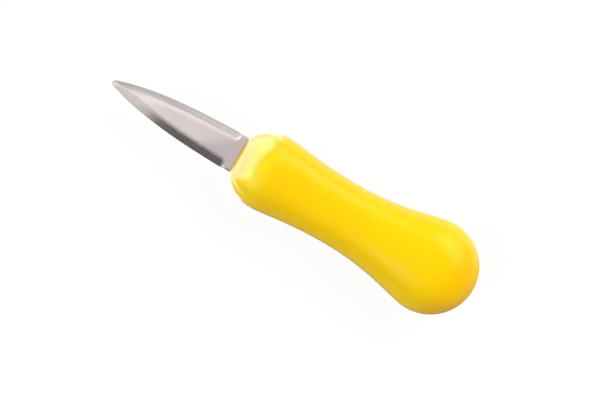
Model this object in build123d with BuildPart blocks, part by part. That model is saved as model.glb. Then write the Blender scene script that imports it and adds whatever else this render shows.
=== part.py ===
from build123d import *
from math import acos, cos, hypot, radians, sin
import os

# Oyster knife: a short, pointed, double-bevelled steel blade whose hidden tang is moulded into a
# thick waisted plastic handle. All lengths are millimetres and all angles are degrees.
# The knife lies on its side. +X runs from the blade's point to the handle's butt, +Y runs across
# the blade and +Z is up. The origin is under the middle of its length, on the surface it lies on.

# Handle, along the knife: front face, nose lobe, waist, butt lobe and rounded butt
handle_length = 118.0
nose_round_length = 16.2    # front face to the nose lobe's fullest section
waist_place = 51.5          # front face to the waist
butt_round_length = 21.6    # butt lobe's fullest section to the end of the butt

# Handle, across the knife: width is along Y and depth is along Z
front_width = 13.0          # flat front face that the blade comes out of
front_depth = 9.0
nose_width = 34.8
nose_depth = 27.6
waist_width = 29.5
waist_depth = 24.0
butt_width = 42.7
butt_depth = 31.0
butt_flat_width = 4.4       # small flat at the very end, where the moulding was gated

# Blade, outside the handle
blade_reach = 64.0          # point to the handle's front face
blade_thickness = 2.8
heel_width = 17.3           # across the edges where the grind ends
ricasso_width = 16.9        # across the unground steel beside the handle
ricasso_reach = 5.6         # unground steel that shows in front of the handle
edge_thickness = 0.7        # blunt land left along both edges
bevel_width = 3.6           # each ground face, across the blade
plunge_radius = 2.6         # corner of the wheel, where the grind runs out
point_radius = 1.25
point_slope = 19.5          # angle of each edge to the knife's axis, just behind the point
heel_slope = 2.4            # the same angle where the grind ends
point_facet_length = 6.3    # thinned facets on both sides of the point
point_thickness = 0.6

# Tang, inside the handle
ricasso_hidden = 7.0        # full-width steel inside the handle's front
tang_width = 10.6
tang_length = 76.0          # handle's front face to the end of the tang
tang_thickness = 3.0        # as stamped: in front of the handle the faces are ground flat
tang_shoulder_radius = 2.0
tang_end_radius = 3.0
tang_hole_diameter = 5.2    # plastic fills these and locks the blade in
tang_hole_spacing = 18.0
tang_first_hole = 24.0      # handle's front face to the first hole
tang_hole_count = 3
tang_notch_radius = 1.6     # half-round bites in the tang's edges, between the holes

# Cutting tools reach this far past the steel they cut
overrun = 5.0

# Shapes of the curves, as shares of the sizes that they follow
point_curve_share = 0.36    # pull of the edge's curve at the point, of the ground length
heel_curve_share = 0.15     # the same at the heel
fullness_share = 0.63       # of an oval: 0.55 draws an ellipse, and more draws it squarer

# Flanks, from a lobe down to the waist: each end's level pull, of the distance between them
lobe_pull_share = 0.16
nose_waist_pull_share = 0.55
butt_waist_pull_share = 0.54

# Sections of the handle's loft: how many steps each stretch is made in
nose_round_steps = 12
nose_flank_steps = 7
butt_flank_steps = 9
butt_round_steps = 12

# Places that follow from the sizes
overall_length = blade_reach + handle_length
middle_z = max(nose_depth, waist_depth, butt_depth) / 2
point_x = -overall_length / 2
front_x = point_x + blade_reach
plunge_x = front_x - ricasso_reach
nose_x = front_x + nose_round_length
waist_x = front_x + waist_place
butt_x = front_x + handle_length - butt_round_length
ground_length = plunge_x - point_x
ricasso_end_x = front_x + ricasso_hidden
tang_end_x = front_x + tang_length


def between(low, high, share):
    """The value that lies a share of the way from low to high."""
    return low + (high - low) * share


# Blade: one blank, ground on both faces along both edges
# Where the point's arc meets the edge's curve, and the way that the curve leaves it
arc_end_x = point_x + point_radius * (1 - sin(radians(point_slope)))
arc_end_y = point_radius * cos(radians(point_slope))
point_pull = point_curve_share * ground_length
heel_pull = heel_curve_share * ground_length


def edge_curve(side):
    """The ground edge on one side, from the point's arc to the plunge, for a line context."""
    return Bezier(
        (arc_end_x, side * arc_end_y),
        (
            arc_end_x + point_pull * cos(radians(point_slope)),
            side * (arc_end_y + point_pull * sin(radians(point_slope))),
        ),
        (
            plunge_x - heel_pull * cos(radians(heel_slope)),
            side * (heel_width / 2 - heel_pull * sin(radians(heel_slope))),
        ),
        (plunge_x, side * heel_width / 2),
    )


bevel_rise = (blade_thickness - edge_thickness) / 2
# A cutter is swept up its bevel from the edge to clear of the steel
bevel_sweep = hypot(bevel_width, bevel_rise) * (1 + overrun / bevel_width)
tang_holes_x = [front_x + tang_first_hole + i * tang_hole_spacing for i in range(tang_hole_count)]
tang_notches_x = [x - tang_hole_spacing / 2 for x in tang_holes_x]

with BuildPart() as blade:
    # The blank's outline: half of it is drawn and mirrored
    with BuildSketch(Plane.XY.offset(middle_z)) as blank:
        with BuildLine() as blank_line:
            point_arc = CenterArc(
                (point_x + point_radius, 0), point_radius, 90 + point_slope, 90 - point_slope
            )
            ground_edge = edge_curve(1)
            heel = Line(ground_edge @ 1, (plunge_x + plunge_radius, ricasso_width / 2))
            FilletPolyline(
                heel @ 1,
                (ricasso_end_x, ricasso_width / 2),
                (ricasso_end_x, tang_width / 2),
                (tang_end_x, tang_width / 2),
                (tang_end_x, 0),
                radius=[tang_shoulder_radius, tang_shoulder_radius, tang_end_radius],
            )
            mirror(about=Plane.XZ)
        make_face()
        with Locations(*[(x, 0) for x in tang_holes_x]):
            Circle(tang_hole_diameter / 2, mode=Mode.SUBTRACT)
        with Locations(*[(x, y) for x in tang_notches_x for y in (-tang_width / 2, tang_width / 2)]):
            Circle(tang_notch_radius, mode=Mode.SUBTRACT)
    extrude(amount=tang_thickness / 2, both=True)

    # Four bevels: everything outside the edge is swept up the bevel's slope and taken away
    for side in (1, -1):
        for face in (1, -1):
            with BuildSketch(Plane.XY.offset(middle_z + face * edge_thickness / 2)) as outside_edge:
                with BuildLine():
                    ground = edge_curve(side)
                    run_out = TangentArc(
                        ground @ 1,
                        (plunge_x + plunge_radius, side * (heel_width / 2 + plunge_radius)),
                        tangent=ground % 1,
                    )
                    far_y = side * (heel_width / 2 + plunge_radius + overrun)
                    Polyline(
                        run_out @ 1,
                        (plunge_x + plunge_radius, far_y),
                        (point_x - overrun, far_y),
                        (point_x - overrun, side * arc_end_y),
                        ground @ 0,
                    )
                make_face()
            extrude(
                amount=bevel_sweep,
                dir=(0, -side * bevel_width, face * bevel_rise),
                mode=Mode.SUBTRACT,
            )

    # In front of the handle both faces are ground flat, and the point is thinned by a facet
    for face in (1, -1):
        point_z = middle_z + face * point_thickness / 2
        flat_z = middle_z + face * blade_thickness / 2
        clear_z = middle_z + face * (tang_thickness / 2 + overrun)
        with BuildSketch(Plane.XZ) as above_blade:
            with BuildLine():
                Polyline(
                    (point_x - overrun, point_z),
                    (point_x, point_z),
                    (point_x + point_facet_length, flat_z),
                    (front_x, flat_z),
                    (front_x, clear_z),
                    (point_x - overrun, clear_z),
                    close=True,
                )
            make_face()
        extrude(amount=heel_width, both=True, mode=Mode.SUBTRACT)
blade.part.label = "blade"


# Handle: ovals lofted from the front face to the butt, with the tang's room left inside
def oval(width, depth):
    """One cross-section: four equal curves between the ends of its width and its depth."""
    half_width = width / 2
    half_depth = depth / 2
    corners = [(1, 0), (0, 1), (-1, 0), (0, -1)]
    for start, end in zip(corners, corners[1:] + corners[:1]):
        Bezier(
            (start[0] * half_width, start[1] * half_depth),
            (
                (start[0] + fullness_share * end[0]) * half_width,
                (start[1] + fullness_share * end[1]) * half_depth,
            ),
            (
                (end[0] + fullness_share * start[0]) * half_width,
                (end[1] + fullness_share * start[1]) * half_depth,
            ),
            (end[0] * half_width, end[1] * half_depth),
        )


# Each section is a place along X with its width and its depth
nose_section = (nose_x, nose_width, nose_depth)
waist_section = (waist_x, waist_width, waist_depth)
butt_section = (butt_x, butt_width, butt_depth)


def flank_sections(start, end, start_pull_share, end_pull_share, steps):
    """Sections from one to another, along a curve that runs level into each of them."""
    distance = end[0] - start[0]
    plan, side = [
        Bezier(
            (start[0], start_size / 2),
            (start[0] + start_pull_share * distance, start_size / 2),
            (end[0] - end_pull_share * distance, end_size / 2),
            (end[0], end_size / 2),
        )
        for start_size, end_size in zip(start[1:], end[1:])
    ]
    shares = [i / steps for i in range(1, steps + 1)]
    return [((plan @ share).X, 2 * (plan @ share).Y, 2 * (side @ share).Y) for share in shares]


# The nose is rounded from its small flat face up to its fullest section
sections = []
for i in range(nose_round_steps + 1):
    angle = radians(90 * i / nose_round_steps)
    sections.append(
        (
            nose_x - nose_round_length * cos(angle),
            between(front_width, nose_width, sin(angle)),
            between(front_depth, nose_depth, sin(angle)),
        )
    )
sections += flank_sections(
    nose_section, waist_section, lobe_pull_share, nose_waist_pull_share, nose_flank_steps
)
sections += flank_sections(
    waist_section, butt_section, butt_waist_pull_share, lobe_pull_share, butt_flank_steps
)
# The butt is rounded up to the angle at which only its small flat is left
butt_flat_angle = acos(butt_flat_width / butt_width)
for i in range(1, butt_round_steps + 1):
    angle = butt_flat_angle * i / butt_round_steps
    sections.append(
        (
            butt_x + butt_round_length * sin(angle) / sin(butt_flat_angle),
            butt_width * cos(angle),
            butt_depth * cos(angle),
        )
    )

with BuildPart() as handle:
    for section_x, width, depth in sections:
        across = Plane(origin=(section_x, 0, middle_z), x_dir=(0, 1, 0), z_dir=(1, 0, 0))
        with BuildSketch(across) as section:
            with BuildLine():
                oval(width, depth)
            make_face()
    loft(ruled=True)
    # The plastic was moulded round the tang, so it fills the holes and the bites
    add(blade.part, mode=Mode.SUBTRACT)
handle.part.label = "handle"

print(f"handle {handle.part.volume:.0f} cubic mm, blade {blade.part.volume:.0f} cubic mm")
os.makedirs("parts", exist_ok=True)
export_step(blade.part, "parts/blade.step")
export_step(handle.part, "parts/handle.step")
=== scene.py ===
"""Oyster knife: a ground steel blade with its tang moulded into a waisted yellow plastic handle.

The knife lies on its side: +X runs from the blade's point to the butt, +Y across the blade and +Z
up. Lengths are metres. The two pieces stand for the frame's nodes blade and handle.
"""

import bisect
import math

import bmesh
import bpy
from bpy.props import FloatProperty, FloatVectorProperty, IntProperty, PointerProperty
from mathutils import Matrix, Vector, geometry


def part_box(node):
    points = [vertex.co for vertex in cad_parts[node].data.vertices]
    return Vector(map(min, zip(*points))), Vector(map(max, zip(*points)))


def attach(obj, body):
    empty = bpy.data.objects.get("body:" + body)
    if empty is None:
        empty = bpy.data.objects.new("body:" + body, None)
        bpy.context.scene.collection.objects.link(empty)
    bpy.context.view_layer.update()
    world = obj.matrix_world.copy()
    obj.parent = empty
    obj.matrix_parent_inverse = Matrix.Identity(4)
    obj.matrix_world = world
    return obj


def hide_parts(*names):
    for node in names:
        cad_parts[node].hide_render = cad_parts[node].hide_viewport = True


bl_info = {
    "name": "Oyster Knife",
    "version": (1, 0, 0),
    "blender": (4, 5, 0),
    "location": "View3D > Sidebar > Oyster Knife",
    "description": "Builds an oyster knife and the studio that it is pictured in",
    "category": "Object",
}

MM = 0.001
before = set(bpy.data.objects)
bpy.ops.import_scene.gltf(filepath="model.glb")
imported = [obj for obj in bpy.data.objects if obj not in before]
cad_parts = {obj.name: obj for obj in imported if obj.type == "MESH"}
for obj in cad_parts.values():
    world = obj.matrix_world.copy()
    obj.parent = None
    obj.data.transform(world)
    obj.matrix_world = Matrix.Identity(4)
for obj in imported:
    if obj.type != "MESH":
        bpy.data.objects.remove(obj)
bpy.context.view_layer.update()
handle_low, handle_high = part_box("handle")
blade_low, blade_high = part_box("blade")

# Places that the frame gives
point_x = blade_low.x
tang_end_x = blade_high.x
front_x = handle_low.x
butt_end_x = handle_high.x
middle_z = (handle_low.z + handle_high.z) / 2

# A quarter circle's Bezier handles, as a share of its radius
CIRCLE_PULL = 4 / 3 * math.tan(math.pi / 8)
# Edges that turn by more than this stay sharp
STEEL_CREASE = math.radians(24)
PLASTIC_CREASE = math.radians(32)
# Near enough to count as the same place
TOUCH = 0.001 * MM


def length(label, description, default):
    """A size property in metres, with its default given in millimetres."""
    return FloatProperty(
        name=label, description=description, default=default * MM, unit="LENGTH", precision=5
    )


def share(label, description, default):
    """A property that is a share of another size."""
    return FloatProperty(
        name=label, description=description, default=default, min=0, max=1, subtype="FACTOR"
    )


def angle(label, description, default):
    """An angle property, with its default given in degrees."""
    return FloatProperty(
        name=label, description=description, default=math.radians(default), subtype="ANGLE"
    )


def count(label, description, default):
    """A property that is a whole number."""
    return IntProperty(name=label, description=description, default=default, min=2)


def colour(label, description, default):
    """A linear colour property."""
    return FloatVectorProperty(
        name=label, description=description, default=default, min=0, max=1, subtype="COLOR"
    )


class KnifeHandleSizes(bpy.types.PropertyGroup):
    """What a user would change on the handle."""

    nose_round: length("Nose round", "Front face to the nose lobe's fullest section", 16.2)
    waist_place: length("Waist place", "Front face to the waist", 51.5)
    butt_round: length("Butt round", "Butt lobe's fullest section to the end of the butt", 21.6)
    front_width: length("Front width", "Flat front face, across the knife", 13.0)
    front_depth: length("Front depth", "Flat front face, through the knife", 9.0)
    nose_width: length("Nose width", "Nose lobe, across the knife", 34.8)
    nose_depth: length("Nose depth", "Nose lobe, through the knife", 27.6)
    waist_width: length("Waist width", "Waist, across the knife", 29.5)
    waist_depth: length("Waist depth", "Waist, through the knife", 24.0)
    butt_flat_width: length("Butt flat", "Small flat at the very end", 4.4)
    fullness: share("Fullness", "Squareness of the oval sections: 0.55 is an ellipse", 0.63)
    lobe_pull: share("Lobe pull", "Level pull of a flank at a lobe", 0.16)
    nose_waist_pull: share("Nose waist pull", "Level pull at the waist, nose side", 0.55)
    butt_waist_pull: share("Butt waist pull", "Level pull at the waist, butt side", 0.54)
    around_steps: count("Steps around", "Vertices in a quarter of each section", 32)
    along_steps: count("Steps along", "Sections in each of the four stretches", 20)
    seam_width: length("Seam width", "Parting line left by the two halves of the mould", 0.34)
    seam_height: length("Seam height", "How far the parting line stands out", 0.05)
    mouth_gap: length("Mouth gap", "Plastic shrunk back from the steel, all round", 0.16)
    mouth_depth: length("Mouth depth", "How deep the shrunk gap goes", 0.6)
    mouth_round: length("Mouth round", "Rounding of the gap's corners", 0.3)
    gate_ring: length("Gate ring", "Flat ring round the gate's mark, and round its nub", 0.45)
    gate_draft: length("Gate draft", "Slope of the mark's and the nub's walls", 0.08)
    gate_sink: length("Gate sink", "How deep the gate's mark is sunk in the butt", 0.3)
    gate_nub: length("Gate nub", "How far the cut sprue stands up in the mark", 0.18)
    plastic: colour("Plastic", "Moulded yellow polypropylene", (0.97, 0.60, 0.002))
    # Painted shade round the front face, under the nose's highlight
    shaded_front_plastic: colour("Front plastic", "Round the front face", (0.6596, 0.408, 0.00136))
    # Painted shadow where the steel comes out
    mouth_shadow_plastic: colour("Mouth plastic", "Where the steel comes out", (0.582, 0.36, 0.0012))
    # Painted light on the rise of the nose lobe
    lit_lobe_plastic: colour("Lobe plastic", "Rise of the nose lobe", (0.97, 0.68, 0.004))
    # Painted light where the butt is thickest
    lit_butt_plastic: colour("Pale plastic", "Where the butt is thickest", (0.97, 0.637, 0.002))
    # Painted shade at the butt's end
    shaded_end_plastic: colour("Deep plastic", "At the butt's end", (0.97, 0.555, 0.002))


class KnifeBladeSizes(bpy.types.PropertyGroup):
    """What a user would change on the blade."""

    thickness: length("Thickness", "Blade in front of the handle", 2.8)
    ricasso_width: length("Ricasso width", "Unground steel beside the handle", 16.9)
    ricasso_reach: length("Ricasso reach", "Unground steel in front of the handle", 5.6)
    ricasso_hidden: length("Hidden ricasso", "Full-width steel inside the handle", 7.0)
    edge_thickness: length("Edge", "Blunt land left along both edges", 0.7)
    edge_round: length("Edge round", "Rounding of the land's corners", 0.12)
    bevel_width: length("Bevel width", "Each ground face, across the blade", 3.6)
    bevel_blend: length("Bevel blend", "Height over which a bevel runs into the flat", 0.36)
    bevel_belly: share("Bevel belly", "Steeper at the edge and shallower at the flat", 0.11)
    plunge_radius: length("Plunge radius", "Corner of the wheel, where the grind runs out", 2.6)
    point_radius: length("Point radius", "Rounding of the point, seen from above", 1.25)
    point_slope: angle("Point slope", "Edge to the knife's axis, behind the point", 19.5)
    heel_slope: angle("Heel slope", "The same angle where the grind ends", 2.4)
    point_curve: share("Point curve", "Pull of the edge's curve at the point", 0.36)
    heel_curve: share("Heel curve", "Pull of the edge's curve at the heel", 0.15)
    facet_length: length("Facet length", "Thinned facets on both sides of the point", 6.3)
    facet_blend: length("Facet blend", "Height over which a facet runs out", 0.05)
    point_thickness: length("Point thickness", "Steel left at the very point", 0.6)
    tang_width: length("Tang width", "Tang inside the handle", 10.6)
    tang_shoulder: length("Tang shoulder", "Radius where the tang begins", 2.0)
    tang_end_round: length("Tang end", "Radius of the tang's end corners", 3.0)
    tang_hole: length("Tang hole", "Diameter of the holes that the plastic fills", 5.2)
    tang_holes: count("Tang holes", "How many holes the tang has", 3)
    tang_first_hole: length("First hole", "Front face to the first hole", 24.0)
    tang_hole_spacing: length("Hole spacing", "From one hole to the next", 18.0)
    tang_notch_radius: length("Tang notch", "Half-round bites between the holes", 1.6)
    across_steps: count("Steps across", "Faces across the blade", 76)
    steel: colour("Steel", "Satin stainless steel", (0.77, 0.695, 0.675))
    # Partly the blank's dull skin, partly painted shade beside the handle
    raw_and_shaded_steel: colour("Raw steel", "Unpolished steel beside the handle", (0.60, 0.535, 0.555))
    # Painted shade that dims the point facet's reflection
    shaded_point_steel: colour("Point steel", "Thinned facet at the point", (0.6468, 0.5838, 0.567))
    # Painted light on the bevel on the key light's side
    lit_steel: colour("Lit steel", "Bevel on the key light's side", (0.87, 0.83, 0.80))
    # Painted shade on the key light's side near the point
    shaded_tip_steel: colour("Tip steel", "The same near the point", (0.7656, 0.7304, 0.704))
    # Painted light on the scoop on the key light's side, plainer on the other
    lit_plunge: colour("Lit plunge", "Scoop on the key's side", (0.9933, 0.89655, 0.87075))
    dim_plunge: colour("Dim plunge", "Scoop on the other side", (0.7854, 0.7089, 0.6885))
    # Painted shade on the ricasso's corner away from the key light
    shaded_edge_steel: colour("Rolled steel", "Ricasso's rolled corner", (0.2926, 0.2641, 0.2565))


class KnifeStageSizes(bpy.types.PropertyGroup):
    """What a user would change in the studio."""

    lens: FloatProperty(name="Lens", description="Focal length", default=100.0, unit="CAMERA")
    camera_height: length("Camera height", "Lens above the knife's middle", 728.9)
    camera_turn: angle("Camera turn", "How the knife slopes down the picture", 30.1)
    aim_x: length("Aim along", "Middle of the picture, along the knife", 6.03)
    aim_y: length("Aim across", "Middle of the picture, across the knife", -3.65)
    floor_radius: length("Floor radius", "Flat part of the floor", 1500.0)
    cove_radius: length("Cove radius", "Rise of the backdrop round the floor", 1200.0)
    cove_turn: angle("Cove turn", "How steep the backdrop's rim gets", 66.0)
    cove_steps: count("Cove steps", "Rings of the backdrop's rise", 12)
    backdrop: colour("Backdrop", "Floor and backdrop", (0.84, 0.84, 0.84))
    paper_white: share("Paper white", "White that the lens sees; the rest keeps the shadow", 0.91)
    paper_mirrored: share("Paper mirrored", "The paper's brightness in reflections", 0.28)
    room: colour("Room", "Dim studio above the backdrop", (0.05, 0.05, 0.05))


# ---- Modelling by hand: selection, operators and finishing ----


def only(piece):
    """Makes a piece the one that is selected and active."""
    bpy.ops.object.select_all(action="DESELECT")
    piece.select_set(True)
    bpy.context.view_layer.objects.active = piece


def added(name):
    """The object that the last operator added, under its own name."""
    piece = bpy.context.active_object
    piece.name = name
    piece.data.name = name
    return piece


def begin_edit(piece, select="DESELECT"):
    """Opens a piece in edit mode with nothing selected, or with everything."""
    only(piece)
    bpy.ops.object.mode_set(mode="EDIT")
    bpy.ops.mesh.select_mode(type="VERT")
    bpy.ops.mesh.select_all(action=select)


def end_edit():
    bpy.ops.object.mode_set(mode="OBJECT")


def pick(test, mode="VERT"):
    """Selects just the vertices or edges in edit mode whose ends pass a test together."""
    bpy.ops.mesh.select_mode(type=mode)
    bpy.ops.mesh.select_all(action="DESELECT")
    mesh = bpy.context.active_object.data
    shape = bmesh.from_edit_mesh(mesh)
    for element in shape.verts if mode == "VERT" else shape.edges:
        ends = [element] if mode == "VERT" else element.verts
        if test(*[end.co for end in ends]):
            element.select_set(True)
    shape.select_flush_mode()
    bmesh.update_edit_mesh(mesh)


def clean_up(piece):
    """Merges doubles and points every face outwards."""
    begin_edit(piece, "SELECT")
    bpy.ops.mesh.remove_doubles(threshold=2 * TOUCH)
    bpy.ops.mesh.normals_make_consistent(inside=False)
    end_edit()


def settle(piece):
    """Puts a piece's place into its mesh, with the object at the origin."""
    only(piece)
    bpy.ops.object.transform_apply(location=True, rotation=True, scale=True)


def combine(piece, tool, operation):
    """Cuts a tool out of a piece, or joins it on, and leaves the tool in place."""
    modifier = piece.modifiers.new(operation.title(), "BOOLEAN")
    modifier.operation = operation
    modifier.solver = "EXACT"
    modifier.object = tool
    only(piece)
    bpy.ops.object.modifier_apply(modifier=modifier.name)


def spend(piece, tool, operation):
    """The same with a tool that isn't kept."""
    combine(piece, tool, operation)
    mesh = tool.data
    bpy.data.objects.remove(tool)
    bpy.data.meshes.remove(mesh)


def finish_piece(piece, node, material, smooth_angle):
    """Shades a piece, gives it its material and puts it in its node's place on the frame."""
    only(piece)
    bpy.ops.object.shade_smooth_by_angle(angle=smooth_angle)
    piece.data.materials.clear()
    piece.data.materials.append(material)
    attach(piece, "root")
    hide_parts(node)


# ---- Materials: shader maths as expressions ----


class Value:
    """A node's output socket that adds, subtracts and multiplies by new Math nodes."""

    def __init__(self, nodes, socket):
        self.nodes = nodes
        self.socket = socket

    def math(self, operation, first, second):
        return self.nodes.add("ShaderNodeMath", {"operation": operation}, {0: first, 1: second})

    def __add__(self, other):
        return self.math("ADD", self, other)

    def __radd__(self, other):
        return self.math("ADD", other, self)

    def __sub__(self, other):
        return self.math("SUBTRACT", self, other)

    def __rsub__(self, other):
        return self.math("SUBTRACT", other, self)

    def __mul__(self, other):
        return self.math("MULTIPLY", self, other)

    def __rmul__(self, other):
        return self.math("MULTIPLY", other, self)

    def larger(self, other):
        return self.math("MAXIMUM", self, other)


class Nodes:
    """One node tree, filled node by node."""

    def __init__(self, tree):
        tree.nodes.clear()
        self.tree = tree

    def add(self, kind, settings=None, inputs=None, output=0):
        """Adds a node, sets it up, then gives its sockets their values or links."""
        node = self.tree.nodes.new(kind)
        for key, value in (settings or {}).items():
            setattr(node, key, value)
        for key, value in (inputs or {}).items():
            if isinstance(value, Value):
                self.tree.links.new(value.socket, node.inputs[key])
            else:
                node.inputs[key].default_value = value
        return Value(self, node.outputs[output]) if node.outputs else node

    def place(self, stretch=(1.0, 1.0, 1.0)):
        """The place on the piece in metres, stretched along its axes."""
        where = self.add("ShaderNodeTexCoord", output="Object")
        return self.add(
            "ShaderNodeVectorMath", {"operation": "MULTIPLY"}, {0: where, 1: stretch}
        )

    def along(self, axis):
        """How far along X, Y or Z a point is."""
        return self.add("ShaderNodeSeparateXYZ", None, {0: self.place()}, output=axis)

    def noise(self, size, stretch=(1.0, 1.0, 1.0), detail=2.0):
        """Soft noise from 0 to 1, with blotches of the given size in metres."""
        return self.add(
            "ShaderNodeTexNoise",
            {"noise_dimensions": "3D"},
            {"Vector": self.place(stretch), "Scale": 1 / size, "Detail": detail},
            output="Fac",
        )

    def ramp(self, value, low, high):
        """0 below low, 1 above high and smooth between them."""
        return self.add(
            "ShaderNodeMapRange",
            {"interpolation_type": "SMOOTHSTEP"},
            {"Value": value, "From Min": low, "From Max": high},
        )

    def band(self, value, low, high, last, end):
        """Rises from 0 at low to 1 at high, and falls from 1 at last to 0 at end."""
        return self.ramp(value, low, high) * (1 - self.ramp(value, last, end))

    def mix(self, factor, first, second):
        """A colour between two others."""
        return self.add(
            "ShaderNodeMix", {"data_type": "RGBA"}, {0: factor, 6: first, 7: second}, output=2
        )

    def finish(self, shader, target="ShaderNodeOutputMaterial"):
        self.add(target, None, {"Surface": shader})


def material_nodes(name):
    """A new material and its empty node tree."""
    material = bpy.data.materials.new(name)
    material.use_nodes = True
    return material, Nodes(material.node_tree)


def opaque(rgb, gain=1.0):
    """A colour socket's four numbers."""
    return (*[channel * gain for channel in rgb], 1.0)


def plastic_material(sizes):
    """Moulded polypropylene: satin yellow, finely textured by the spark-eroded mould."""
    material, nodes = material_nodes("Yellow polypropylene")
    cloud = nodes.noise(22 * MM, detail=3.0)
    mottle = nodes.noise(1.6 * MM)
    tone = nodes.ramp(cloud * 0.7 + mottle * 0.3, 0.3, 0.7)
    yellow = nodes.mix(tone, opaque(sizes.plastic, 0.97), opaque(sizes.plastic, 1.02))

    # Painted shade round the front face, under the nose's highlight, and painted shadow where the
    # steel comes out
    x, y = nodes.along(0), nodes.along(1)
    back = [front_x + place * MM for place in (0.5, 3, 3, 12.5)]
    front = nodes.band(x, *back) * nodes.ramp(y, -13 * MM, -5 * MM)
    yellow = nodes.mix(front, yellow, opaque(sizes.shaded_front_plastic))
    # Painted shadow where the steel comes out
    mouth = 1 - nodes.ramp(x, front_x + 0.3 * MM, front_x + 1.3 * MM)
    yellow = nodes.mix(mouth, yellow, opaque(sizes.mouth_shadow_plastic))
    # Painted light on the rise of the nose lobe, which starts on a slant
    lobe = nodes.ramp(x - y * 0.5, front_x + 8.5 * MM, front_x + 11.5 * MM)
    lobe = lobe * (1 - nodes.ramp(x, front_x + 11 * MM, front_x + 20 * MM))
    yellow = nodes.mix(lobe, yellow, opaque(sizes.lit_lobe_plastic))
    # Painted light where the butt thickens, and painted shade at the very end
    butt_light = nodes.ramp(x, front_x + 35 * MM, front_x + 75 * MM)
    yellow = nodes.mix(butt_light, yellow, opaque(sizes.lit_butt_plastic))
    end = nodes.ramp(x, butt_end_x - 24 * MM, butt_end_x - 7 * MM)
    yellow = nodes.mix(end, yellow, opaque(sizes.shaded_end_plastic))

    # The mould's fine pebble lies on the slow waves of shrinking plastic
    pebble = nodes.noise(0.42 * MM, detail=1.0)
    orange_peel = nodes.noise(5.5 * MM, detail=1.0)
    bump = nodes.add(
        "ShaderNodeBump",
        None,
        {"Strength": 0.35, "Distance": 0.006 * MM, "Height": pebble},
    )
    bump = nodes.add(
        "ShaderNodeBump",
        None,
        {"Strength": 0.25, "Distance": 0.12 * MM, "Height": orange_peel, "Normal": bump},
    )
    shader = nodes.add(
        "ShaderNodeBsdfPrincipled",
        None,
        {
            "Base Color": yellow,
            "Roughness": 0.22 + mottle * 0.05,
            "IOR": 1.49,
            "Specular IOR Level": 0.5,
            "Normal": bump,
        },
    )
    nodes.finish(shader)
    return material


def steel_material(sizes):
    """Satin stainless steel: brushed along the flats, ground across the bevels."""
    material, nodes = material_nodes("Satin stainless steel")
    ground = nodes.add("ShaderNodeAttribute", {"attribute_name": "ground"}, output="Fac")
    x, y = nodes.along(0), nodes.along(1)
    brushed = nodes.noise(0.16 * MM, (0.02, 1.0, 1.0), 3.0)
    scored = nodes.noise(0.08 * MM, (1.0, 0.02, 0.02), 1.0)
    lines = brushed + (scored - brushed) * ground
    cloud = nodes.noise(7 * MM, (0.5, 1.0, 1.0))
    tone = nodes.ramp(lines * 0.6 + cloud * 0.4, 0.3, 0.7)
    steel = nodes.mix(tone, opaque(sizes.steel, 0.94), opaque(sizes.steel, 1.03))

    # The flat is darker beside the handle, up to a slanting line: partly the blank's dull skin,
    # partly painted shade
    raw_and_shade = nodes.ramp(x - y * 1.2, point_x + 47 * MM, point_x + 57 * MM) * (1 - ground)
    steel = nodes.mix(raw_and_shade, steel, opaque(sizes.raw_and_shaded_steel))
    # Painted shade that dims the reflection in the middle of the point's facet
    facet = 1 - nodes.ramp(x, point_x + 3 * MM, point_x + 6 * MM)
    facet = facet * (1 - nodes.ramp(y * y, (0.5 * MM) ** 2, (1.7 * MM) ** 2))
    steel = nodes.mix(facet, steel, opaque(sizes.shaded_point_steel))
    # Painted light on the bevel on the key light's side, along its edge
    lit = nodes.ramp(y, 5 * MM, 6.8 * MM) * ground
    lit = lit * nodes.ramp(x, point_x + 16 * MM, point_x + 50 * MM)
    steel = nodes.mix(lit, steel, opaque(sizes.lit_steel))
    # Painted shade on the key light's side near the point, on the flat and the bevel
    tip = nodes.band(x, *[point_x + place * MM for place in (7, 12, 16, 33)])
    tip = tip * nodes.ramp(y, 0.3 * MM, 2.2 * MM)
    steel = nodes.mix(tip, steel, opaque(sizes.shaded_tip_steel))
    # The scoops that the wheel's corner leaves where the grind runs out, painted lighter on the key
    # light's side
    scoop = nodes.ramp(x, front_x - 5.2 * MM, front_x - 4.4 * MM) * ground
    dim = 1 - nodes.ramp(y, -2 * MM, 2 * MM)
    scoop_light_and_shade = nodes.mix(dim, opaque(sizes.lit_plunge), opaque(sizes.dim_plunge))
    steel = nodes.mix(scoop, steel, scoop_light_and_shade)
    # Painted shade along the ricasso's corner on the side away from the key light, beside the
    # handle
    shaded = nodes.ramp(y * -1, 7.3 * MM, 8.0 * MM)
    shaded = shaded * nodes.ramp(x, front_x - 2.6 * MM, front_x - 1.6 * MM)
    steel = nodes.mix(shaded, steel, opaque(sizes.shaded_edge_steel))

    # The bevels are polished, but use has dulled them near the point
    worn = 1 - nodes.ramp(x, point_x + 12 * MM, point_x + 33 * MM)
    polish = ground * (1 - worn)
    bump = nodes.add(
        "ShaderNodeBump",
        None,
        {"Strength": 1.0, "Distance": 0.008 * MM, "Height": lines * (1 - ground * 0.8)},
    )
    shader = nodes.add(
        "ShaderNodeBsdfPrincipled",
        None,
        {
            "Base Color": steel,
            "Metallic": 1.0,
            "Roughness": 0.40 + lines * 0.08 - polish * 0.19 - worn * 0.05 + scoop * 0.1,
            "Normal": bump,
        },
    )
    nodes.finish(shader)
    return material


# ---- Blade ----


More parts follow.
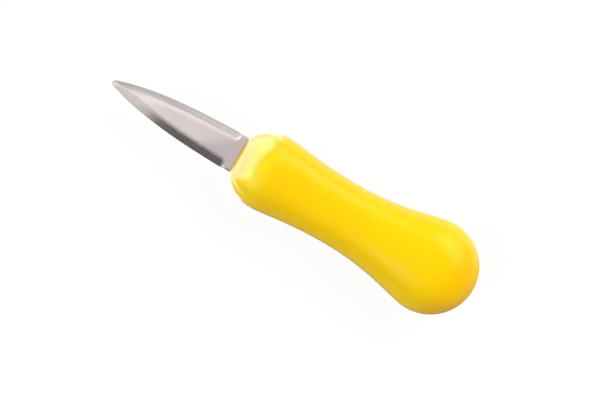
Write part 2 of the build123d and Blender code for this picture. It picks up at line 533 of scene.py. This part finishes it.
class BladeForm:
    """The blade's outline and the steel that the grinding leaves, from its sizes."""

    CURVE_POINTS = 400
    # Faces along the point, the bevels, the plunges and the ricasso
    POINT_STEPS = 16
    BEVEL_STEPS = 84
    PLUNGE_STEPS = 46
    RICASSO_STEPS = 8

    def __init__(self, sizes):
        self.sizes = sizes
        self.heel_y = (blade_high.y - blade_low.y) / 2
        self.plunge_x = front_x - sizes.ricasso_reach
        ground_length = self.plunge_x - point_x
        point_pull = sizes.point_curve * ground_length
        heel_pull = sizes.heel_curve * ground_length
        start = Vector(
            (
                point_x + sizes.point_radius * (1 - math.sin(sizes.point_slope)),
                sizes.point_radius * math.cos(sizes.point_slope),
            )
        )
        end = Vector((self.plunge_x, self.heel_y))
        start_pull = Vector((math.cos(sizes.point_slope), math.sin(sizes.point_slope)))
        end_pull = Vector((math.cos(sizes.heel_slope), math.sin(sizes.heel_slope)))
        leaving = start + start_pull * point_pull
        arriving = end - end_pull * heel_pull
        curve = geometry.interpolate_bezier(start, leaving, arriving, end, self.CURVE_POINTS)
        self.curve_x = [place.x for place in curve]
        self.curve_y = [place.y for place in curve]
        self.slope = (sizes.thickness - sizes.edge_thickness) / 2 / sizes.bevel_width

    def on_curve(self, x):
        """Half the width between the ground edges."""
        after = min(max(bisect.bisect(self.curve_x, x), 1), len(self.curve_x) - 1)
        x0, x1 = self.curve_x[after - 1 : after + 1]
        y0, y1 = self.curve_y[after - 1 : after + 1]
        return y0 + (y1 - y0) * (x - x0) / (x1 - x0)

    def half_width(self, x):
        """Half the width of the blank."""
        sizes = self.sizes
        if x <= self.curve_x[0]:
            back = sizes.point_radius - (x - point_x)
            return math.sqrt(max(sizes.point_radius**2 - back**2, 0))
        if x <= self.plunge_x:
            return self.on_curve(x)
        run = min((x - self.plunge_x) / sizes.plunge_radius, 1)
        return self.heel_y + (sizes.ricasso_width / 2 - self.heel_y) * run

    def half_height(self, x, y):
        """Half the steel's thickness that the grinding leaves at a place."""
        sizes = self.sizes
        full = sizes.thickness / 2
        past = x - self.plunge_x
        if past >= sizes.plunge_radius:
            return full
        line = self.half_width(x)
        if past > 0:
            run_out = math.sqrt(sizes.plunge_radius**2 - past**2)
            line = self.heel_y + sizes.plunge_radius - run_out
        inside = line - abs(y)
        belly = sizes.bevel_belly * max(inside * (1 - inside / sizes.bevel_width), 0)
        bevel = sizes.edge_thickness / 2 + self.slope * inside + belly
        height = soft_least(full, bevel, sizes.bevel_blend)
        facet_slope = (full - sizes.point_thickness / 2) / sizes.facet_length
        facet = sizes.point_thickness / 2 + facet_slope * (x - point_x)
        return soft_least(height, facet, sizes.facet_blend)

    def stations(self):
        """Places along the blade, closest at the point and where the grind runs out."""
        tip_length = 3 * MM
        scoop_start = self.plunge_x - 1 * MM
        scoop_end = self.plunge_x + self.sizes.plunge_radius + 0.1 * MM
        last = front_x + 1 * MM
        number = self.POINT_STEPS
        tip = [point_x + tip_length * (i / number) ** 2 for i in range(number)]
        bevels = steps(point_x + tip_length, scoop_start, self.BEVEL_STEPS)
        scoop = steps(scoop_start, scoop_end, self.PLUNGE_STEPS)
        return tip + bevels + scoop + steps(scoop_end, last, self.RICASSO_STEPS) + [last]


def steps(start, end, number):
    """Even steps from start up to but not at the end."""
    return [start + (end - start) * i / number for i in range(number)]


def soft_least(first, second, blend):
    """The lesser of two heights, rounded where they cross."""
    near = max(blend - abs(first - second), 0) / blend
    return min(first, second) - near * near * blend / 4


def add_ground_blade(sizes, form):
    """The blade in front of the handle: a grid laid on the ground face, doubled and closed."""
    stations = form.stations()
    across = sizes.across_steps
    bpy.ops.mesh.primitive_grid_add(
        x_subdivisions=len(stations) - 1, y_subdivisions=across, size=2, location=(0, 0, 0)
    )
    blade = added("steel_blade")
    for vertex in blade.data.vertices:
        x = stations[round((vertex.co.x + 1) / 2 * (len(stations) - 1))]
        y = vertex.co.y * form.half_width(x)
        vertex.co = (x, y, middle_z + form.half_height(x, y))
    begin_edit(blade, "SELECT")
    bpy.ops.mesh.remove_doubles(threshold=TOUCH)
    bpy.ops.mesh.duplicate()
    bpy.ops.transform.resize(value=(1, 1, -1), center_override=(0, 0, middle_z))
    bpy.ops.mesh.select_all(action="DESELECT")
    bpy.ops.mesh.select_mode(type="EDGE")
    bpy.ops.mesh.select_non_manifold()
    bpy.ops.mesh.bridge_edge_loops()
    bpy.ops.mesh.select_all(action="SELECT")
    bpy.ops.mesh.normals_make_consistent(inside=False)

    # The land's corners are eased, as a grinder leaves them
    def on_rim(place):
        return abs(place.y) > form.half_width(place.x) - 0.01 * MM and place.x < front_x

    def along_rim(start, end):
        return on_rim(start) and on_rim(end) and abs(start.x - end.x) >= TOUCH

    pick(along_rim, "EDGE")
    bpy.ops.mesh.bevel(offset=sizes.edge_round, segments=2, affect="EDGES", clamp_overlap=True)
    end_edit()
    return blade


def add_tang(sizes):
    """The tang as stamped: a wide start, shoulders, a rounded end, holes and bites."""
    thickness = blade_high.z - blade_low.z
    wide_end_x = front_x + sizes.ricasso_hidden
    bpy.ops.mesh.primitive_plane_add(size=2, location=((front_x + wide_end_x) / 2, 0, 0))
    tang = added("tang")
    begin_edit(tang, "SELECT")
    bpy.ops.transform.resize(
        value=(sizes.ricasso_hidden / 2, sizes.ricasso_width / 2, 1),
        center_override=tang.location,
    )
    end_edit()
    settle(tang)
    # The wide start is cut along both sides of its middle, and the middle is drawn out as the tang
    begin_edit(tang, "SELECT")
    for side in (1, -1):
        bpy.ops.mesh.select_all(action="SELECT")
        bpy.ops.mesh.bisect(plane_co=(0, side * sizes.tang_width / 2, 0), plane_no=(0, 1, 0))
    reach = tang_end_x - wide_end_x

    def on_middle_end(*ends):
        middle = all(abs(place.y) < sizes.tang_width / 2 + TOUCH for place in ends)
        return middle and all(place.x > wide_end_x - TOUCH for place in ends)

    pick(on_middle_end, "EDGE")
    bpy.ops.mesh.extrude_edges_move(TRANSFORM_OT_translate={"value": (reach, 0, 0)})
    for corner_x, radius in (
        (wide_end_x, sizes.tang_shoulder),
        (tang_end_x, sizes.tang_end_round),
    ):

        def at_corner(place):
            outer = abs(place.y) > sizes.tang_width / 2 - TOUCH
            return outer and abs(place.x - corner_x) < TOUCH

        pick(at_corner)
        bpy.ops.mesh.bevel(offset=radius, segments=8, affect="VERTICES")
    bpy.ops.mesh.select_all(action="SELECT")
    bpy.ops.mesh.dissolve_limited(angle_limit=math.radians(1))
    bpy.ops.transform.translate(value=(0, 0, blade_low.z))
    bpy.ops.mesh.extrude_region_move(TRANSFORM_OT_translate={"value": (0, 0, thickness)})
    end_edit()
    clean_up(tang)
    first_x = front_x + sizes.tang_first_hole
    for i in range(sizes.tang_holes):
        hole_x = first_x + i * sizes.tang_hole_spacing
        punch(tang, hole_x, 0, sizes.tang_hole / 2)
        for side in (1, -1):
            notch_x = hole_x - sizes.tang_hole_spacing / 2
            punch(tang, notch_x, side * sizes.tang_width / 2, sizes.tang_notch_radius)
    return tang


def punch(piece, x, y, radius):
    """Punches a round hole through the tang."""
    reach = 10 * MM  # well past both faces
    bpy.ops.mesh.primitive_cylinder_add(
        vertices=40, radius=radius, depth=reach, location=(x, y, middle_z)
    )
    spend(piece, added("punch"), "DIFFERENCE")


def mark_grinding(blade, form):
    """Says on each vertex how far it lies on a ground face, for the steel's lines."""
    ground = blade.data.attributes.new("ground", "FLOAT", "POINT")
    for vertex, value in zip(blade.data.vertices, ground.data):
        x, y = vertex.co.xy
        if x < front_x:
            depth = form.sizes.thickness / 2 - form.half_height(x, y)
            value.value = min(depth / (form.sizes.bevel_blend / 2), 1)


class KNIFE_OT_blade(bpy.types.Operator):
    """Forges, stamps and grinds the blade with its tang"""

    bl_idname = "knife.blade"
    bl_label = "Blade"

    def execute(self, context):
        sizes = context.scene.knife_blade
        form = BladeForm(sizes)
        blade = add_ground_blade(sizes, form)
        spend(blade, add_tang(sizes), "UNION")
        clean_up(blade)
        if len(blade.data.polygons) == 0:
            raise RuntimeError("the blade came out empty")
        mark_grinding(blade, form)
        finish_piece(blade, "blade", steel_material(sizes), STEEL_CREASE)
        return {"FINISHED"}


# ---- Handle ----


def handle_sections(sizes):
    """Places along the handle, each with the width and depth of its oval."""
    nose = (front_x + sizes.nose_round, sizes.nose_width, sizes.nose_depth)
    waist = (front_x + sizes.waist_place, sizes.waist_width, sizes.waist_depth)
    butt_width = handle_high.y - handle_low.y
    butt_depth = handle_high.z - handle_low.z
    butt = (butt_end_x - sizes.butt_round, butt_width, butt_depth)
    number = sizes.along_steps
    sections = []
    for i in range(number + 1):
        turn = math.pi / 2 * i / number
        swell = math.sin(turn)
        sections.append(
            (
                nose[0] - sizes.nose_round * math.cos(turn),
                sizes.front_width + (nose[1] - sizes.front_width) * swell,
                sizes.front_depth + (nose[2] - sizes.front_depth) * swell,
            )
        )
    sections += flank(nose, waist, sizes.lobe_pull, sizes.nose_waist_pull, number)
    sections += flank(waist, butt, sizes.butt_waist_pull, sizes.lobe_pull, number)
    flat_turn = math.acos(sizes.butt_flat_width / butt_width)
    for i in range(1, number + 1):
        turn = flat_turn * i / number
        reach = sizes.butt_round * math.sin(turn) / math.sin(flat_turn)
        sections.append(
            (butt[0] + reach, butt_width * math.cos(turn), butt_depth * math.cos(turn))
        )
    return sections


def flank(start, end, start_pull, end_pull, number):
    """Sections from one to another, along a curve that runs level into each of them."""
    distance = end[0] - start[0]
    widths, depths = [
        geometry.interpolate_bezier(
            Vector((start[0], start[i])),
            Vector((start[0] + start_pull * distance, start[i])),
            Vector((end[0] - end_pull * distance, end[i])),
            Vector((end[0], end[i])),
            number + 1,
        )
        for i in (1, 2)
    ]
    return [(width.x, width.y, depth.y) for width, depth in zip(widths[1:], depths[1:])]


def add_oval(x, width, depth, fullness, resolution):
    """An oval across the knife, drawn as a full Bezier circle and made a ring of edges."""
    bpy.ops.curve.primitive_bezier_circle_add(
        radius=1, location=(x, 0, middle_z), rotation=(math.pi / 2, 0, math.pi / 2)
    )
    oval = added("plastic_handle")
    oval.data.resolution_u = resolution
    for point in oval.data.splines[0].bezier_points:
        point.handle_left_type = point.handle_right_type = "FREE"
        for side in ("handle_left", "handle_right"):
            pull = getattr(point, side) - point.co
            setattr(point, side, point.co + pull * fullness / CIRCLE_PULL)
    bpy.ops.transform.resize(value=(1, width / 2, depth / 2))
    bpy.ops.object.convert(target="MESH")
    oval = bpy.context.active_object
    settle(oval)
    return oval


def add_moulding(sizes):
    """The handle's skin: one oval drawn out and resized section by section, then closed."""
    sections = handle_sections(sizes)
    handle = add_oval(*sections[0], sizes.fullness, sizes.around_steps)
    begin_edit(handle, "SELECT")
    for before, after in zip(sections, sections[1:]):
        bpy.ops.mesh.extrude_edges_move(
            TRANSFORM_OT_translate={"value": (after[0] - before[0], 0, 0)}
        )
        bpy.ops.transform.resize(
            value=(1, after[1] / before[1], after[2] / before[2]),
            center_override=(after[0], 0, middle_z),
        )
    # The butt is closed with the sunk mark and small nub of the mould's gate
    bpy.ops.mesh.edge_face_add()
    for depth in (-sizes.gate_sink, sizes.gate_nub):
        bpy.ops.mesh.inset(thickness=sizes.gate_ring, depth=0)
        bpy.ops.mesh.inset(thickness=sizes.gate_draft, depth=depth)
    # The front face is closed flat
    pick(lambda place: place.x < front_x + TOUCH)
    bpy.ops.mesh.edge_face_add()

    # The parting line runs round the middle: a fine strip with its middle raised
    def on_seam(*ends):
        level = all(abs(place.z - middle_z) < TOUCH for place in ends)
        return level and all(abs(place.y) > sizes.front_width / 2 for place in ends)

    pick(on_seam, "EDGE")
    bpy.ops.mesh.bevel(offset=sizes.seam_width / 2, segments=2, affect="EDGES")
    pick(on_seam)
    bpy.ops.transform.shrink_fatten(value=-sizes.seam_height)
    end_edit()
    clean_up(handle)
    return handle


def add_mouth(sizes, blade_sizes):
    """A cutter for the gap that the shrinking plastic leaves round the steel."""
    width = blade_sizes.ricasso_width + 2 * sizes.mouth_gap
    height = blade_high.z - blade_low.z + 2 * sizes.mouth_gap
    bpy.ops.mesh.primitive_cube_add(size=1, location=(front_x, 0, middle_z))
    mouth = added("mouth")
    mouth.scale = (2 * sizes.mouth_depth, width, height)
    settle(mouth)
    begin_edit(mouth)
    pick(lambda start, end: abs(start.x - end.x) > sizes.mouth_depth, "EDGE")
    bpy.ops.mesh.bevel(offset=sizes.mouth_round, segments=4, affect="EDGES")
    end_edit()
    return mouth


class KNIFE_OT_handle(bpy.types.Operator):
    """Moulds the handle round the blade's tang"""

    bl_idname = "knife.handle"
    bl_label = "Handle"

    def execute(self, context):
        sizes = context.scene.knife_handle
        blade = bpy.data.objects.get("steel_blade")
        if blade is None:
            raise RuntimeError("make the blade first: the handle is moulded round it")
        handle = add_moulding(sizes)
        spend(handle, add_mouth(sizes, context.scene.knife_blade), "DIFFERENCE")
        combine(handle, blade, "DIFFERENCE")
        clean_up(handle)
        finish_piece(handle, "handle", plastic_material(sizes), PLASTIC_CREASE)
        return {"FINISHED"}


# ---- Studio ----

# Soft lamps: compass turn and height in degrees, distance, size and brightness
SOFTBOXES = (
    ("Key", 62, 38, 1.4, (1.5, 0.9), 5.65),
    ("Front fill", -134, 45, 1.4, (0.9, 0.9), 5.65),
)
# Panels that one piece alone reflects: place, aim, size and brightness. A card close to the knife
# shows in a small part of it, and so does a bright patch of the table.
PANELS = {
    "plastic_handle": (
        ("Window", (-0.059, 0.031, 0.0558), (1.0, -0.087, 0), (0.151, 0.0785), 9.8),
        ("Side wall", (0.18, 0.35, 0.165), (0, -1, 0), (0.24, 0.33), 0.4),
        ("Far glow", (0.045, 0.097, 0.001), (0, 0, 1), (0.19, 0.15), 0.65),
        ("Table glow", (-0.243, 0.14, 0.001), (0, 0, 1), (0.39, 0.50), 4.5),
        ("Near glow", (-0.033, 0.042, 0.001), (0, 0, 1), (0.03, 0.136), 2.8),
    ),
    "steel_blade": (
        ("Small window", (-0.55, -0.035, 0.6), (0.995, 0.10, 0), (0.88, 0.42), 1.7),
        ("Tip card", (-0.091, -0.017, 0.0385), (0, 0.4, -0.9), (0.034, 0.024), 0.6),
        ("Top strip", (-0.06, 0.11, 0.99), (0, -0.11, -0.99), (1.2, 0.4), 1.62),
        ("Near strip", (-0.06, -0.53, 0.84), (0, 0.53, -0.84), (1.2, 0.4), 0.09),
        ("Low strip", (-0.06, 0.574, 0.819), (0, -0.574, -0.819), (1.2, 0.46), 0.66),
        ("Far wall", (0, 1.3, 0.4), (0, -1, 0), (2.6, 0.8), 0.6),
        ("Near wall", (0, -1.3, 0.4), (0, 1, 0), (2.6, 0.8), 0.6),
        ("Butt wall", (1.3, 0, 0.4), (-1, 0, 0), (2.6, 0.8), 0.6),
        ("Point wall", (-1.3, 0, 0.4), (1, 0, 0), (2.6, 0.8), 0.6),
    ),
}


def backdrop_material(sizes):
    """Pale paper that the lens sees as white, and that keeps the shadow."""
    material, nodes = material_nodes("White backdrop")
    camera = nodes.add("ShaderNodeLightPath", output="Is Camera Ray")
    glossy = nodes.add("ShaderNodeLightPath", output="Is Glossy Ray")
    through = nodes.add("ShaderNodeLightPath", output="Is Transmission Ray")
    seen = camera.larger(through) * sizes.paper_white
    mirrored = opaque(sizes.backdrop, sizes.paper_mirrored)
    tone = nodes.mix(glossy, opaque(sizes.backdrop), mirrored)
    paper = nodes.add("ShaderNodeBsdfDiffuse", None, {"Color": tone})
    white = nodes.add("ShaderNodeEmission", None, {"Color": (1, 1, 1, 1), "Strength": 1.02})
    mixed = nodes.add("ShaderNodeMixShader", None, {0: seen, 1: paper, 2: white})
    nodes.finish(mixed)
    return material


def add_backdrop(sizes):
    """A round floor whose rim coves up into a low backdrop."""
    radius = sizes.floor_radius
    bpy.ops.mesh.primitive_circle_add(
        vertices=96, radius=radius, fill_type="NGON", location=(0, 0, handle_low.z)
    )
    backdrop = added("backdrop")
    settle(backdrop)
    begin_edit(backdrop)
    bpy.ops.mesh.select_mode(type="EDGE")
    bpy.ops.mesh.select_non_manifold()
    before = (radius, 0.0)
    for i in range(1, sizes.cove_steps + 1):
        turn = sizes.cove_turn * i / sizes.cove_steps
        after = (
            radius + sizes.cove_radius * math.sin(turn),
            sizes.cove_radius * (1 - math.cos(turn)),
        )
        bpy.ops.mesh.extrude_edges_move(
            TRANSFORM_OT_translate={"value": (0, 0, after[1] - before[1])}
        )
        grow = after[0] / before[0]
        bpy.ops.transform.resize(value=(grow, grow, 1), center_override=(0, 0, 0))
        before = after
    end_edit()
    clean_up(backdrop)
    only(backdrop)
    bpy.ops.object.shade_smooth_by_angle(angle=math.radians(30))
    backdrop.data.materials.append(backdrop_material(sizes))


def add_softbox(name, turn, lift, distance, size, radiance):
    """A soft lamp that shines on the knife and shows in no reflection."""
    turn, lift = math.radians(turn), math.radians(lift)
    ray = Vector((math.cos(lift) * math.cos(turn), math.cos(lift) * math.sin(turn), math.sin(lift)))
    place_softbox(name, ray * distance, -ray, size, radiance).visible_glossy = False


def add_panel(name, place, aim, size, radiance, piece):
    """A bright panel that shows only in one piece's reflections, as flags in a studio allow."""
    panel = place_softbox(name, Vector(place), Vector(aim), size, radiance)
    panel.visible_diffuse = False
    mirror = bpy.data.collections.new(name)
    mirror.objects.link(bpy.data.objects[piece])
    panel.light_linking.receiver_collection = mirror


def place_softbox(name, place, aim, size, radiance):
    """A rectangular lamp at a place that shines along a direction, as bright as it should look."""
    bpy.ops.object.light_add(type="AREA", location=place)
    lamp = added(name)
    lamp.data.shape = "RECTANGLE"
    lamp.data.size, lamp.data.size_y = size
    lamp.data.energy = math.pi * size[0] * size[1] * radiance
    lamp.rotation_euler = aim.to_track_quat("-Z", "Y").to_euler()
    lamp.visible_camera = False
    return lamp


class KNIFE_OT_stage(bpy.types.Operator):
    """Sets up the floor, the lamps, the dim room and the camera"""

    bl_idname = "knife.stage"
    bl_label = "Studio"

    def execute(self, context):
        scene = context.scene
        sizes = scene.knife_stage
        add_backdrop(sizes)
        for softbox in SOFTBOXES:
            add_softbox(*softbox)
        for piece, panels in PANELS.items():
            for panel in panels:
                add_panel(*panel, piece)
        world = bpy.data.worlds.new("Dim room")
        world.use_nodes = True
        nodes = Nodes(world.node_tree)
        room = nodes.add("ShaderNodeBackground", None, {"Color": opaque(sizes.room)})
        nodes.finish(room, "ShaderNodeOutputWorld")
        scene.world = world

        height = middle_z + sizes.camera_height
        bpy.ops.object.camera_add(
            location=(sizes.aim_x, sizes.aim_y, height), rotation=(0, 0, sizes.camera_turn)
        )
        camera = added("Camera")
        camera.data.lens = sizes.lens
        camera.data.sensor_width = 36
        scene.camera = camera
        scene.view_settings.view_transform = "Standard"
        return {"FINISHED"}


class KNIFE_PT_panel(bpy.types.Panel):
    """Lists the knife's pieces in the sidebar"""

    bl_idname = "KNIFE_PT_panel"
    bl_label = "Oyster Knife"
    bl_space_type = "VIEW_3D"
    bl_region_type = "UI"
    bl_category = "Oyster Knife"

    def draw(self, context):
        for operator in OPERATORS:
            self.layout.operator(operator.bl_idname)


SIZES = {
    "knife_handle": KnifeHandleSizes,
    "knife_blade": KnifeBladeSizes,
    "knife_stage": KnifeStageSizes,
}
OPERATORS = (KNIFE_OT_blade, KNIFE_OT_handle, KNIFE_OT_stage)


def register():
    for group in SIZES.values():
        bpy.utils.register_class(group)
    for name, group in SIZES.items():
        setattr(bpy.types.Scene, name, PointerProperty(type=group))
    for operator in OPERATORS:
        bpy.utils.register_class(operator)
    bpy.utils.register_class(KNIFE_PT_panel)


def unregister():
    bpy.utils.unregister_class(KNIFE_PT_panel)
    for operator in reversed(OPERATORS):
        bpy.utils.unregister_class(operator)
    for name, group in SIZES.items():
        delattr(bpy.types.Scene, name)
        bpy.utils.unregister_class(group)


def main():
    register()
    bpy.ops.knife.blade()
    bpy.ops.knife.handle()
    bpy.ops.knife.stage()


if __name__ == "__main__":
    main()
